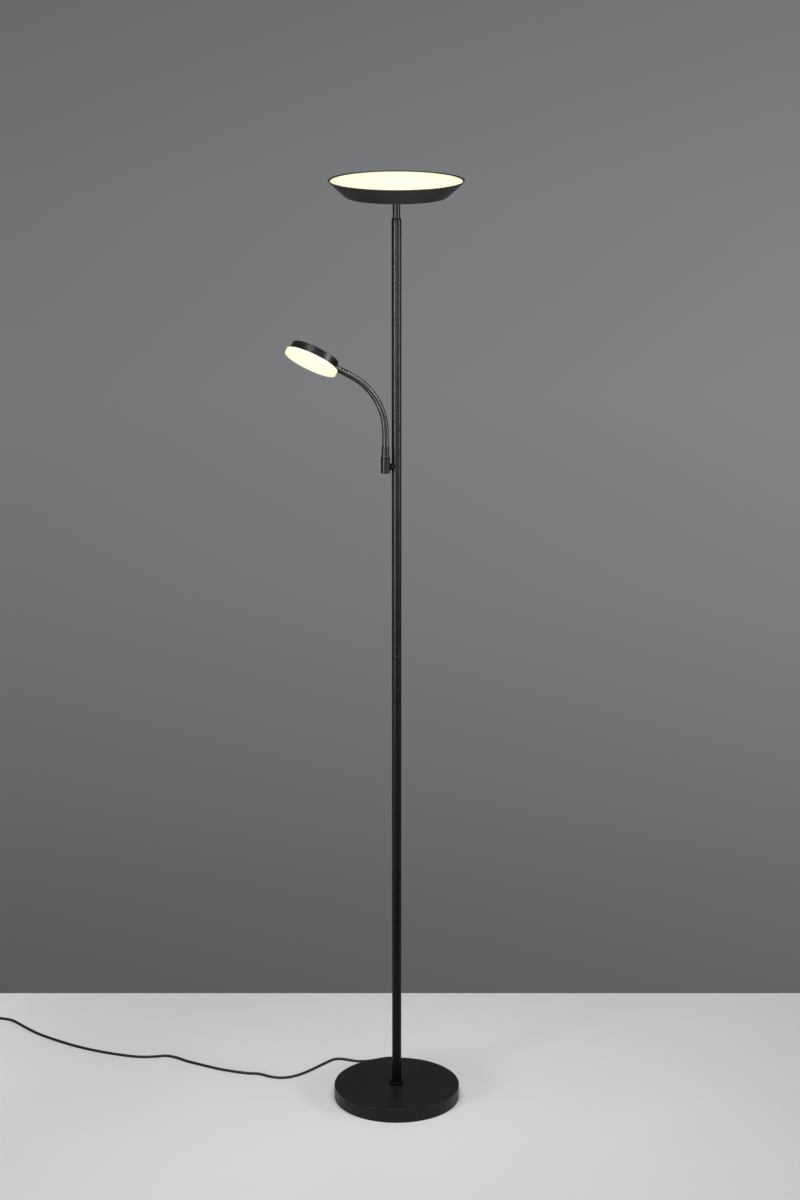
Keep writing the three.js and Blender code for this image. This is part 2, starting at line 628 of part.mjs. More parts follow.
function addCord() {
  // The strain relief snaps into the cover's wall and tapers towards the cord.
  const relief = turned([
    [2.9, 116.6],
    [6.4, 116.6],
    [6.4, 119.6],
    [4.8, 119.6],
    [4.8, BASE_RADIUS + GAP],
    [6.4, BASE_RADIUS + GAP],
    [6.4, 125],
    [5, 126.5],
    [3.5, RELIEF_END],
    [2.9, RELIEF_END],
    [2.9, 116.6],
  ], 20).rotateX(-Math.PI / 2).translate(0, 0, EXIT_HEIGHT);
  piece('strain_relief', relief, blackVinyl);
  piece('mains_cord', rod(CORD_ROUTE, CORD_RADIUS, 8, 72), blackVinyl);

  const [x, y] = COIL_CENTRE;
  piece('cord_coil', ring(COIL_OUTER, COIL_INNER, 0.1, COIL_TOP, 32).translate(x, y, 0), blackVinyl);

  // The tie is a strap over the coil, with its tails down both sides.
  const strap = new THREE.Shape();
  const inner = COIL_INNER - 0.5;
  const outer = COIL_OUTER + 0.5;
  strap.moveTo(inner - 0.9, 0.2);
  strap.lineTo(inner, 0.2);
  strap.lineTo(inner, COIL_TOP + 0.4);
  strap.lineTo(outer, COIL_TOP + 0.4);
  strap.lineTo(outer, 0.2);
  strap.lineTo(outer + 0.9, 0.2);
  strap.lineTo(outer + 0.9, COIL_TOP + 1.3);
  strap.lineTo(inner - 0.9, COIL_TOP + 1.3);
  strap.closePath();
  const tie = new THREE.ExtrudeGeometry(strap, { depth: 5, bevelEnabled: false })
    .translate(0, 0, -2.5)
    .rotateX(Math.PI / 2)
    .rotateZ(rad(-60))
    .translate(x, y, 0);
  piece('coil_tie', tie, blackPlastic);

  // The flat two-pin plug lies beside the coil, pins forwards.
  const plugX = x - 35;
  const plugRear = y - 21.6;
  const neck = 13;
  const bodyLength = 24;
  const outline = new THREE.Shape();
  outline.moveTo(-3.6, 0);
  outline.lineTo(-5.5, -neck);
  outline.lineTo(-12, -neck - 4);
  outline.lineTo(-17.6, -neck - 9);
  outline.lineTo(-17.6, -neck - bodyLength);
  outline.lineTo(17.6, -neck - bodyLength);
  outline.lineTo(17.6, -neck - 9);
  outline.lineTo(12, -neck - 4);
  outline.lineTo(5.5, -neck);
  outline.lineTo(3.6, 0);
  outline.closePath();
  const plugHeight = 13.7;
  const bevel = 1.2;
  const body = new THREE.ExtrudeGeometry(outline, {
    depth: plugHeight - 2 * bevel,
    bevelThickness: bevel,
    bevelSize: bevel,
    bevelOffset: -bevel,
    bevelSegments: 1,
  }).translate(plugX, plugRear, bevel + 0.1);
  piece('plug_body', body, blackVinyl);
  [-9.3, 9.3].forEach((offset, i) => {
    const pin = turned([[0, 0], [2, 0], [2, 18], [1.2, 19], [0, 19]], 12)
      .rotateX(Math.PI / 2)
      .translate(plugX + offset, plugRear - neck - bodyLength - GAP, plugHeight / 2 + 0.1);
    piece(`plug_pin_${i + 1}`, pin, brass);
  });
}

addBase();
addPole();
addSupplyLead();
addBowl();
addArm();
addHose();
addHead();
addCord();

export default lamp;
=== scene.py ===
"""Looks of a torchiere floor lamp with a reading arm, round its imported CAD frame. Metres, +Z up."""

import json
import math

import bmesh
import bpy
from mathutils import Matrix, Vector


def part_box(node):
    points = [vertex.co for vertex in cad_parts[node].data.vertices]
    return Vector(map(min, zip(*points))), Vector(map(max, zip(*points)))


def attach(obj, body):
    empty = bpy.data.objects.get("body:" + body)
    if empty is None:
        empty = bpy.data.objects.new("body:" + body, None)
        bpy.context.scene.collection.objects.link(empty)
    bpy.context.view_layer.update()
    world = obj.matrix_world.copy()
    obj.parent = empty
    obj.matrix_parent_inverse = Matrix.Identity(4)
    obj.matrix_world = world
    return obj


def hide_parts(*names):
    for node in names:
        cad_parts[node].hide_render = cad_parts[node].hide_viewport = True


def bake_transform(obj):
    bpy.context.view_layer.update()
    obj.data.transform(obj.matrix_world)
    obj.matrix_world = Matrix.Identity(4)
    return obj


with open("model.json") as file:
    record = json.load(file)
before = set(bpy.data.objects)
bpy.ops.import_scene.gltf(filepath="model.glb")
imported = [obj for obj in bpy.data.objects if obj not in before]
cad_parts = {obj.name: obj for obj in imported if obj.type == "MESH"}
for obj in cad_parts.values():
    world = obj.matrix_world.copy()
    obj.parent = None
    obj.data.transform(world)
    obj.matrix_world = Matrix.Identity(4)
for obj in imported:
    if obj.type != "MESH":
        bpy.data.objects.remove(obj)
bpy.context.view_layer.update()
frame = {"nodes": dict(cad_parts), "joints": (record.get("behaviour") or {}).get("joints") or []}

MM = 0.001
UP = Vector((0, 0, 1))

# ---------------------------------------------------------------- camera

FOCAL_SHARE = 2.6158  # focal length over the picture's height
SENSOR = 36.0
CAMERA_PLACE = (0.0064, -5.657, 2.622)
CAMERA_PITCH = 15.887  # degrees below the horizon


def add_camera():
    """The photograph's camera."""
    data = bpy.data.cameras.new("camera")
    data.sensor_width = SENSOR
    data.lens = FOCAL_SHARE * SENSOR
    camera = bpy.data.objects.new("camera", data)
    camera.location = CAMERA_PLACE
    camera.rotation_euler = (math.radians(90 - CAMERA_PITCH), 0, 0)
    bpy.context.scene.collection.objects.link(camera)
    bpy.context.scene.camera = camera


# ---------------------------------------------------------------- mesh helpers


def piece_of(bm, name, material, place=Matrix.Identity(4), sharp=40):
    """A new object from a bmesh, smooth but for edges sharper than an angle in degrees."""
    bmesh.ops.recalc_face_normals(bm, faces=bm.faces)
    mesh = bpy.data.meshes.new(name)
    bm.to_mesh(mesh)
    bm.free()
    mesh.shade_smooth()
    mesh.set_sharp_from_angle(angle=math.radians(sharp))
    mesh.materials.append(material)
    piece = bpy.data.objects.new(name, mesh)
    piece.matrix_world = place
    bpy.context.scene.collection.objects.link(piece)
    return piece


def settle(piece, body, slot, *nodes):
    """The piece rides on a body and stands for CAD nodes."""
    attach(piece, body)
    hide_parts(*nodes)
    return piece


SUPPORT = 0.2  # how far beside a rounded corner its extra points stand, as a share of the radius


def fillet(points, radii, steps=5):
    """Points in a plane with each corner rounded by its radius, and extra points that keep flats flat."""
    rounded = []
    count = len(points)
    for i, radius in enumerate(radii):
        corner = Vector(points[i])
        if not radius:
            rounded.append(tuple(corner))
            continue
        before = (Vector(points[i - 1]) - corner).normalized()
        after = (Vector(points[(i + 1) % count]) - corner).normalized()
        half = before.angle(after) / 2
        reach = radius / math.tan(half)
        middle = corner + (before + after).normalized() * radius / math.sin(half)
        first, last = corner + before * reach - middle, corner + after * reach - middle
        turn = first.angle_signed(last)
        rounded.append(tuple(middle + first + before * SUPPORT * radius))
        for step in range(steps + 1):
            angle = -turn * step / steps
            spin = Matrix(((math.cos(angle), -math.sin(angle)), (math.sin(angle), math.cos(angle))))
            rounded.append(tuple(middle + spin @ first))
        rounded.append(tuple(middle + last + after * SUPPORT * radius))
    return rounded


def lathe(profile, sides=96):
    """A closed body turned about Z from [radius, height] points; one that starts on the axis ends on it."""
    bm = bmesh.new()
    rings = []
    for radius, height in profile:
        if radius < 1e-7:
            rings.append([bm.verts.new((0, 0, height))] * sides)
            continue
        turns = [2 * math.pi * i / sides for i in range(sides)]
        rings.append([bm.verts.new((radius * math.cos(a), radius * math.sin(a), height)) for a in turns])
    for near, far in zip(rings, rings[1:] + rings[:1]):
        for i in range(sides):
            j = (i + 1) % sides
            corners = list(dict.fromkeys([near[i], near[j], far[j], far[i]]))
            if len(corners) > 2:
                bm.faces.new(corners)
    return bm


def skin(bm, rings):
    """Joins each ring of vertices to the next and closes both ends."""
    sides = len(rings[0])
    for near, far in zip(rings, rings[1:]):
        for k in range(sides):
            j = (k + 1) % sides
            bm.faces.new([near[k], near[j], far[j], far[k]])
    bm.faces.new(rings[0][::-1])
    bm.faces.new(rings[-1])


def sweep(points, radius_at, sides):
    """A closed rod along the points; radius_at(index, angle) gives its radius."""
    bm = bmesh.new()
    rings = []
    across = None
    for i, point in enumerate(points):
        ahead = (points[min(i + 1, len(points) - 1)] - points[max(i - 1, 0)]).normalized()
        if across is None:
            across = ahead.orthogonal().normalized()
        across = (across - ahead * across.dot(ahead)).normalized()
        other = ahead.cross(across)
        ring = []
        for k in range(sides):
            angle = 2 * math.pi * k / sides
            out = across * math.cos(angle) + other * math.sin(angle)
            ring.append(bm.verts.new(point + out * radius_at(i, angle)))
        rings.append(ring)
    skin(bm, rings)
    return bm


def cut(piece, tool):
    """Takes the tool's shape out of the piece."""
    modifier = piece.modifiers.new("cut", "BOOLEAN")
    modifier.operation = "DIFFERENCE"
    modifier.solver = "EXACT"
    modifier.object = tool
    bpy.context.view_layer.update()
    seen = piece.evaluated_get(bpy.context.evaluated_depsgraph_get())
    made = bpy.data.meshes.new_from_object(seen)
    piece.modifiers.clear()
    piece.data = made
    bpy.data.objects.remove(tool)


def aimed(place, direction):
    """The matrix that stands Z along a direction at a place."""
    return Matrix.Translation(place) @ direction.to_track_quat("Z", "Y").to_matrix().to_4x4()


def size_of(node):
    """A round upright node's radius, foot and top."""
    low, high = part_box(node)
    return (high.x - low.x) / 2, low.z, high.z


# ---------------------------------------------------------------- materials


def material_of(name, colour, roughness, **sockets):
    """A material whose shader has these constants on its own sockets."""
    made = bpy.data.materials.new(name)
    made.use_nodes = True
    shader = made.node_tree.nodes["Principled BSDF"]
    shader.inputs["Base Color"].default_value = (*colour, 1)
    shader.inputs["Roughness"].default_value = roughness
    for socket, value in sockets.items():
        shader.inputs[socket.replace("_", " ")].default_value = value
    return made


def noise(made, scale, detail=2.0, stretch=(1, 1, 1)):
    """A noise texture in the piece's own metres; its features are about 1 / scale across."""
    nodes, links = made.node_tree.nodes, made.node_tree.links
    place = nodes.new("ShaderNodeTexCoord")
    mapping = nodes.new("ShaderNodeMapping")
    mapping.inputs["Scale"].default_value = stretch
    texture = nodes.new("ShaderNodeTexNoise")
    texture.inputs["Scale"].default_value = scale
    texture.inputs["Detail"].default_value = detail
    links.new(place.outputs["Object"], mapping.inputs["Vector"])
    links.new(mapping.outputs["Vector"], texture.inputs["Vector"])
    return texture.outputs["Fac"]


def tint(made, height, low, high, start=0.3, end=0.7):
    """The base colour runs between two colours with a texture."""
    nodes, links = made.node_tree.nodes, made.node_tree.links
    ramp = nodes.new("ShaderNodeValToRGB")
    ramp.color_ramp.elements[0].position = start
    ramp.color_ramp.elements[0].color = (*low, 1)
    ramp.color_ramp.elements[1].position = end
    ramp.color_ramp.elements[1].color = (*high, 1)
    links.new(height, ramp.inputs["Fac"])
    links.new(ramp.outputs["Color"], nodes["Principled BSDF"].inputs["Base Color"])


def vary_roughness(made, height, low, high):
    """The roughness runs between two values with a texture."""
    nodes, links = made.node_tree.nodes, made.node_tree.links
    spread = nodes.new("ShaderNodeMapRange")
    spread.inputs["From Min"].default_value = 0.3
    spread.inputs["From Max"].default_value = 0.7
    spread.inputs["To Min"].default_value = low
    spread.inputs["To Max"].default_value = high
    links.new(height, spread.inputs["Value"])
    links.new(spread.outputs["Result"], nodes["Principled BSDF"].inputs["Roughness"])


def bump(made, *layers):
    """Surface relief from (texture, depth in metres) layers, each on the one before."""
    nodes, links = made.node_tree.nodes, made.node_tree.links
    normal = None
    for height, depth in layers:
        relief = nodes.new("ShaderNodeBump")
        relief.inputs["Distance"].default_value = depth
        links.new(height, relief.inputs["Height"])
        if normal:
            links.new(normal, relief.inputs["Normal"])
        normal = relief.outputs["Normal"]
    links.new(normal, nodes["Principled BSDF"].inputs["Normal"])


def powder_coat():
    """Fine-grained black powder coat on steel."""
    made = material_of("powder_coat", (0.01, 0.01, 0.0105), 0.38, Specular_IOR_Level=0.17)
    grain = noise(made, 1500, 3)
    peel = noise(made, 260, 1)
    tint(made, noise(made, 14, 4), (0.0088, 0.0088, 0.0092), (0.0113, 0.0113, 0.0118))
    vary_roughness(made, noise(made, 60, 5), 0.34, 0.42)
    bump(made, (peel, 0.00002), (grain, 0.00002))
    return made


def satin_paint():
    """Smooth satin black lacquer on steel tube, with the faint streaks of its wiping down."""
    made = material_of("satin_paint", (0.003, 0.003, 0.0032), 0.3, Specular_IOR_Level=0.11)
    streaks = noise(made, 220, 4, (1, 1, 0.06))
    speckle = noise(made, 1800, 2)
    tint(made, noise(made, 30, 5), (0.0022, 0.0022, 0.0024), (0.0036, 0.0036, 0.0039))
    vary_roughness(made, streaks, 0.27, 0.34)
    bump(made, (speckle, 0.000004))
    return made


def hose_paint():
    """The lacquer on the wound hose, its tone and roughness varying a little at random."""
    made = material_of("hose_paint", (0.003, 0.003, 0.0032), 0.18, Specular_IOR_Level=0.26)
    tint(made, noise(made, 160, 4), (0.003, 0.003, 0.0032), (0.006, 0.006, 0.0063))
    vary_roughness(made, noise(made, 420, 3), 0.15, 0.22)
    bump(made, (noise(made, 2600, 2), 0.000003))
    return made


def opal_glow(name, radius):
    """A lit opal sheet: whitest in the middle, warmer near the edge, where the plastic is seen edge on."""
    made = material_of(name, (0.12, 0.11, 0.08), 0.45, Specular_IOR_Level=0.2)
    nodes, links = made.node_tree.nodes, made.node_tree.links
    shader = nodes["Principled BSDF"]
    place = nodes.new("ShaderNodeTexCoord")
    flatten = nodes.new("ShaderNodeVectorMath")
    flatten.operation = "MULTIPLY"
    flatten.inputs[1].default_value = (1, 1, 0)
    length = nodes.new("ShaderNodeVectorMath")
    length.operation = "LENGTH"
    share = nodes.new("ShaderNodeMath")
    share.operation = "DIVIDE"
    share.inputs[1].default_value = radius
    ramp = nodes.new("ShaderNodeValToRGB")
    ramp.color_ramp.elements[0].position = 0.0
    ramp.color_ramp.elements[0].color = (1.0, 0.99, 0.84, 1)
    ramp.color_ramp.elements[1].position = 1.0
    ramp.color_ramp.elements[1].color = (1.0, 0.9, 0.62, 1)
    middle = ramp.color_ramp.elements.new(0.8)
    middle.color = (1.0, 0.97, 0.76, 1)
    links.new(place.outputs["Object"], flatten.inputs[0])
    links.new(flatten.outputs["Vector"], length.inputs[0])
    links.new(length.outputs["Value"], share.inputs[0])
    links.new(share.outputs["Value"], ramp.inputs["Fac"])
    links.new(ramp.outputs["Color"], shader.inputs["Emission Color"])
    shader.inputs["Emission Strength"].default_value = 0.85
    tint(made, noise(made, 40, 3), (0.1, 0.09, 0.06), (0.13, 0.12, 0.08))
    bump(made, (noise(made, 900, 2), 0.000005))
    return made


def vinyl(name, shade, roughness):
    """Black cable vinyl with a faint extruded grain."""
    made = material_of(name, (shade,) * 3, roughness, Specular_IOR_Level=0.35)
    tint(made, noise(made, 45, 4), (shade * 0.8,) * 3, (shade * 1.25,) * 3)
    vary_roughness(made, noise(made, 300, 4), roughness - 0.06, roughness + 0.08)
    bump(made, (noise(made, 1300, 3), 0.00003))
    return made


def foam_rubber():
    """The open-pored foam under the base, with painted shade: darker where its relief is low."""
    made = material_of("foam_rubber", (0.012, 0.012, 0.012), 0.92, Sheen_Weight=0.15)
    pore_relief_and_shade = noise(made, 1100, 4)
    # Painted shade: the colour is darker where the pore relief is low.
    tint(made, pore_relief_and_shade, (0.006, 0.006, 0.006), (0.02, 0.02, 0.02))
    bump(made, (pore_relief_and_shade, 0.0003))
    return made


def metal(name, colour, roughness, grain_scale, depth, stretch=(1, 1, 1)):
    """Bare or plated metal with its own grain."""
    made = material_of(name, colour, roughness, Metallic=1.0)
    grain = noise(made, grain_scale, 4, stretch)
    tint(made, noise(made, 50, 4), tuple(c * 0.82 for c in colour), tuple(min(1, c * 1.08) for c in colour))
    vary_roughness(made, grain, roughness * 0.8, roughness * 1.25)
    bump(made, (grain, depth))
    return made


def plastic(name, colour, roughness):
    """Moulded plastic or a varnished board."""
    made = material_of(name, colour, roughness)
    tint(made, noise(made, 90, 4), tuple(c * 0.93 for c in colour), tuple(min(1, c * 1.05) for c in colour))
    vary_roughness(made, noise(made, 500, 3), roughness * 0.85, roughness * 1.15)
    bump(made, (noise(made, 1600, 2), 0.00002))
    return made


def floor_paper():
    """Matt white paper, a little cloudy."""
    made = material_of("floor_paper", (0.7, 0.7, 0.7), 0.62, Specular_IOR_Level=0.2)
    tint(made, noise(made, 3, 3), (0.74, 0.74, 0.745), (0.76, 0.76, 0.765))
    bump(made, (noise(made, 400, 3), 0.00004))
    return made


powder_black = powder_coat()
satin_black = satin_paint()
hose_black = hose_paint()
cord_vinyl = vinyl("cord_vinyl", 0.009, 0.5)
plug_vinyl = vinyl("plug_vinyl", 0.014, 0.44)
tie_nylon = vinyl("tie_nylon", 0.018, 0.38)
foam_black = foam_rubber()
cast_iron = metal("cast_iron", (0.11, 0.11, 0.115), 0.62, 500, 0.0002)
zinc_steel = metal("zinc_steel", (0.6, 0.6, 0.58), 0.34, 700, 0.00003)
screw_steel = metal("screw_steel", (0.56, 0.57, 0.58), 0.28, 900, 0.00002)
aluminium = metal("aluminium", (0.78, 0.79, 0.8), 0.36, 800, 0.00003, (1, 0.08, 1))
brass = metal("brass", (0.83, 0.66, 0.36), 0.25, 900, 0.00002, (1, 0.1, 1))
board_green = plastic("board_green", (0.02, 0.12, 0.05), 0.4)
board_white = plastic("board_white", (0.82, 0.82, 0.8), 0.45)
driver_white = plastic("driver_white", (0.75, 0.75, 0.73), 0.5)
lead_white = plastic("lead_white", (0.7, 0.7, 0.67), 0.45)

# ---------------------------------------------------------------- mains cord

CORD_RADIUS = 2.5 * MM
COIL_PITCH = 5.08 * MM  # between turns side by side
COIL_TURNS = 3  # in the bottom layer, from the outside in
COIL_STEPS = 72  # points for each turn
COIL_RADIUS = 36.5 * MM  # middle of the cord in the outermost turn
CLIMB = 140  # degrees of turn in which the cord rises to the second layer
SETTLE = 60  # degrees of turn in which the spiral's narrowing dies out
RUN_IN = 50  # degrees of turn in which the arriving cord joins the outermost turn
WIDEN_POWER = 0.55  # how early the second layer runs outwards: 1 is evenly, less is sooner
LAYER_RISE = 2 * CORD_RADIUS + 0.1 * MM  # from one layer's middle to the next
LIE = 2.6 * MM  # height of a lying cord's middle
CORD_STEP = 2.5 * MM  # between the points of the smooth route
CORD_SIDES = 14

# The route that the CAD cord takes from its strain relief to its coil: the middle of the cord.
CORD_ROUTE = [
    (0, 0.1473, 0.009),
    (0, 0.152, 0.0087),
    (-0.0016, 0.16, 0.0074),
    (-0.0062, 0.1668, 0.0058),
    (-0.013, 0.1714, 0.0043),
    (-0.021, 0.173, 0.0033),
    (-0.03, 0.1714, 0.0028),
    (-0.042, 0.166, LIE),
    (-0.062, 0.1595, LIE),
    (-0.082, 0.1605, LIE),
    (-0.1, 0.167, LIE),
    (-0.1094, 0.1701, LIE),
    (-0.1156, 0.1712, LIE),
    (-0.1219, 0.1704, LIE),
    (-0.1277, 0.1677, LIE),
    (-0.1324, 0.1635, LIE),
    (-0.157, 0.1345, LIE),
    (-0.18, 0.108, LIE),
    (-0.203, 0.0885, LIE),
    (-0.227, 0.0805, LIE),
    (-0.251, 0.0855, LIE),
    (-0.273, 0.0985, LIE),
    (-0.3, 0.1025, LIE),
    (-0.348, 0.119, LIE),
    (-0.385, 0.1385, LIE),
    (-0.423, 0.161, LIE),
    (-0.447, 0.179, LIE),
    (-0.466, 0.186, LIE),
    (-0.489, 0.182, LIE),
    (-0.515, 0.1805, LIE),
    (-0.546, 0.187, LIE),
    (-0.596, 0.205, LIE),
    (-0.646, 0.23, LIE),
    (-0.699, 0.266, LIE),
    (-0.74, 0.3, LIE),
    (-0.768, 0.331, LIE),
    (-0.8, 0.366, LIE),
    (-0.822, 0.374, LIE),
    (-0.836, 0.3805, LIE),
    (-0.8492, 0.3872, LIE),
]


def smooth_curve(points, step):
    """Points a step apart along the centripetal Catmull-Rom curve through the given ones."""
    points = [Vector(p) for p in points]
    ends = [2 * points[0] - points[1]] + points + [2 * points[-1] - points[-2]]
    line = [points[0]]
    for p0, p1, p2, p3 in zip(ends, ends[1:], ends[2:], ends[3:]):
        t1 = (p1 - p0).length ** 0.5
        t2 = t1 + (p2 - p1).length ** 0.5
        t3 = t2 + (p3 - p2).length ** 0.5
        count = max(2, round((p2 - p1).length / step))
        for i in range(1, count + 1):
            t = t1 + (t2 - t1) * i / count
            a1 = p0.lerp(p1, t / t1)
            a2 = p1.lerp(p2, (t - t1) / (t2 - t1))
            a3 = p2.lerp(p3, (t - t2) / (t3 - t2))
            b1 = a1.lerp(a2, t / t2)
            b2 = a2.lerp(a3, (t - t1) / (t3 - t1))
            line.append(b1.lerp(b2, (t - t1) / (t2 - t1)))
    return line


def ease(share):
    """0 to 1 with a soft start and end."""
    share = min(max(share, 0), 1)
    return share * share * (3 - 2 * share)


def coil_points(centre, start, plug_rear):
    """From the route's end, in along a flat spiral, up and out on a second layer, to the plug's rear."""
    entry = start - centre
    first_angle = math.degrees(math.atan2(entry.y, entry.x))
    outside = math.hypot(entry.x, entry.y)
    low_end = first_angle + 360 * COIL_TURNS
    out_end = 180 + 360 * math.ceil((low_end + 180) / 360)
    inner = COIL_RADIUS - COIL_PITCH * COIL_TURNS
    points = []
    steps = round((out_end - first_angle) / 360 * COIL_STEPS)
    for i in range(1, steps + 1):
        angle = first_angle + (out_end - first_angle) * i / steps
        turn = angle - first_angle
        if angle < low_end:
            radius = COIL_RADIUS - COIL_PITCH * turn / 360
            radius += (outside - COIL_RADIUS) * (1 - ease(turn / RUN_IN))
            height = LIE
        else:
            past = angle - low_end
            up = ease(past / CLIMB)
            settling = min(past, SETTLE)
            innermost = inner - COIL_PITCH / 360 * (settling - settling * settling / (2 * SETTLE))
            out = ease((past - CLIMB) / (out_end - low_end - CLIMB)) ** WIDEN_POWER
            radius = innermost + (centre.x - plug_rear.x - innermost) * out
            height = LIE + LAYER_RISE * up
        around = Vector((math.cos(math.radians(angle)), math.sin(math.radians(angle)), 0))
        points.append(centre + around * radius + UP * height)
    last = points[-1]
    tail = [last.lerp(plug_rear, share) for share in (0.2, 0.4, 0.6, 0.8, 1)]
    return points + tail


def add_cord():
    """The cord, its strain relief, tie and plug."""
    coil_low, coil_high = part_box("cord_coil")
    centre = (coil_low + coil_high) / 2
    centre.z = 0
    plug_low, plug_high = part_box("plug_body")
    plug_rear = Vector(((plug_low.x + plug_high.x) / 2, plug_high.y, (plug_low.z + plug_high.z) / 2))
    route = smooth_curve(CORD_ROUTE, CORD_STEP)
    line = route + coil_points(centre, route[-1], plug_rear)
    body = sweep(line, lambda i, angle: CORD_RADIUS, CORD_SIDES)
    cord = piece_of(body, "mains_lead", cord_vinyl)
    settle(cord, "stand", "cord_black", "mains_cord", "cord_coil")
    on_cord = [add_strain_relief(), add_tie(centre), add_plug(plug_low, plug_high), *add_pins()]


GROOVES = 6  # round the strain relief's taper
# One groove and the rib before it: share of the pitch along the taper, and depth in millimetres.
GROOVE = [(0, 0.9), (0.14, 0.15), (0.22, 0), (0.62, 0), (0.7, 0.15), (0.84, 0.9)]


def groove_points(foot, top, root, mouth, bore):
    """[radius, height] points up a taper from root to mouth, with grooves round it and a plain last rib."""
    points = []
    pitch = (top - foot) / GROOVES
    for i in range(GROOVES):
        for share, depth in GROOVE:
            y = foot + pitch * (i + share)
            radius = root + (mouth - root) * (y - foot) / (top - foot)
            cut_in = i < GROOVES - 1 or share < 0.5
            points.append((max(radius - depth * MM * (1 if cut_in else 0), bore), y))
    return points


def add_strain_relief():
    """A tapered boot with grooves round it, behind the flange that holds it in the cover's wall."""
    low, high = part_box("strain_relief")
    middle = (low.z + high.z) / 2
    flange = (high.z - low.z) / 2
    bore, mouth, root = 2.6 * MM, 3.5 * MM, 5.0 * MM
    neck = 4.8 * MM
    foot, top = low.y, high.y
    wall = size_of("base_cover")[0] + 0.2 * MM
    profile = [(bore, foot), (flange, foot), (flange, foot + 2.8 * MM), (neck, foot + 3.2 * MM)]
    profile += [(neck, wall), (flange - 0.5 * MM, wall), (flange, wall + 0.6 * MM)]
    profile += [(flange, wall + 2 * MM), (flange - 0.6 * MM, wall + 2.7 * MM)]
    profile += groove_points(wall + 3.2 * MM, top, root, mouth, bore)
    profile += [(mouth, top - 0.3 * MM), (mouth - 0.3 * MM, top), (bore, top)]
    place = Matrix.Translation((0, 0, middle)) @ Matrix.Rotation(math.radians(-90), 4, "X")
    relief = piece_of(lathe(profile, 48), "strain_relief_boot", plug_vinyl, place)
    return settle(relief, "stand", "cord_black", "strain_relief")


# The strap's section, in half widths and half thicknesses.
STRAP_SECTION = [(-1, -0.6), (-0.9, -1), (0.9, -1), (1, -0.6), (1, 0.6), (0.9, 1), (-0.9, 1), (-1, 0.6)]
STRAP_HALF_WIDTH = 2.5 * MM
STRAP_HALF_THICK = 0.4 * MM
TIE_ANGLE = math.radians(-60)  # where round the coil the strap lies


def strap_ring(bm, x, z, ahead):
    """The strap's section at a point of its middle line, square to the way ahead."""
    out = Vector((-ahead.y, ahead.x))
    ring = []
    for across, thick in STRAP_SECTION:
        ring.append(bm.verts.new((
            x + out.x * thick * STRAP_HALF_THICK,
            across * STRAP_HALF_WIDTH,
            z + out.y * thick * STRAP_HALF_THICK,
        )))
    return ring


def add_tie(centre):
    """A flat strap over the coil, with its two ends hanging down inside and outside it."""
    inner, outer = 17.0 * MM, COIL_RADIUS + CORD_RADIUS + 0.6 * MM
    foot, top = 0.25 * MM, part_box("coil_tie")[1].z - 0.45 * MM
    corner = 2.2 * MM
    outline = [(inner, foot), (inner, top), (outer, top), (outer, foot)]
    line = fillet(outline, [0, corner, corner, 0], 6)
    bm = bmesh.new()
    rings = []
    for i, (x, z) in enumerate(line):
        back = Vector(line[max(i - 1, 0)])
        ahead = (Vector(line[min(i + 1, len(line) - 1)]) - back).normalized()
        rings.append(strap_ring(bm, x, z, ahead))
    skin(bm, rings)
    place = Matrix.Translation(centre) @ Matrix.Rotation(TIE_ANGLE, 4, "Z")
    tie = piece_of(bm, "coil_strap", tie_nylon, place)
    return settle(tie, "stand", "tie_black", "coil_tie")


def plug_outline(middle, half, rear, front):
    """The plug seen from above, from the left of its rear round to the right of it."""
    neck = rear - 13 * MM
    shoulder = neck - 8.5 * MM
    left = [(-3.6 * MM, rear), (-5.2 * MM, neck), (-half, shoulder), (-half, front)]
    right = [(-x, y) for x, y in reversed(left)]
    radii = [1 * MM, 5 * MM, 6 * MM, 2.5 * MM]
    line = fillet(left + right, radii + radii[::-1], 6)
    return [(middle + x, y) for x, y in line]


def plug_levels(foot, top, bevel, steps):
    """How far in the outline lies at each height, for edges rounded over below and above."""
    quarter = [math.radians(90) * step / steps for step in range(steps + 1)]
    lower = [(bevel * (1 - math.sin(angle)), foot + bevel * (1 - math.cos(angle))) for angle in quarter]
    return lower + [(inset, foot + top - z) for inset, z in reversed(lower)]


PLUG_BEVEL = 3 * MM  # rounding of its long edges
END_BEVEL = 0.6  # rounding of its two ends, as a share of the rounding of its sides
NECK_THINNING = 0.42  # share of its thickness that the neck loses towards the cord


def add_plug(low, high):
    """A flat two-pin plug: a waisted grip that narrows to the cord."""
    centre = (low + high) / 2
    half = (high.x - low.x) / 2
    rear, front = high.y, low.y
    outline = plug_outline(centre.x, half, rear, front)
    bm = bmesh.new()
    rings = []
    for inset, z in plug_levels(low.z, high.z, PLUG_BEVEL, 5):
        ring = []
        for x, y in outline:
            neck_share = min(max((y - centre.y) / (rear - centre.y), 0), 1)
            thinning = NECK_THINNING * ease(neck_share * 1.3 - 0.1)
            ring.append(bm.verts.new((
                centre.x + (x - centre.x) * (1 - inset / half),
                y - math.copysign(END_BEVEL * inset, y - centre.y) * (1 - 0.8 * neck_share),
                z + (centre.z - z) * thinning,
            )))
        rings.append(ring)
    skin(bm, rings)
    plug = piece_of(bm, "plug_grip", plug_vinyl, sharp=50)
    return settle(plug, "stand", "cord_black", "plug_body")


PIN_FLAT = 0.25  # share of a pin's radius that stays flat at its tip
PIN_STEPS = 6


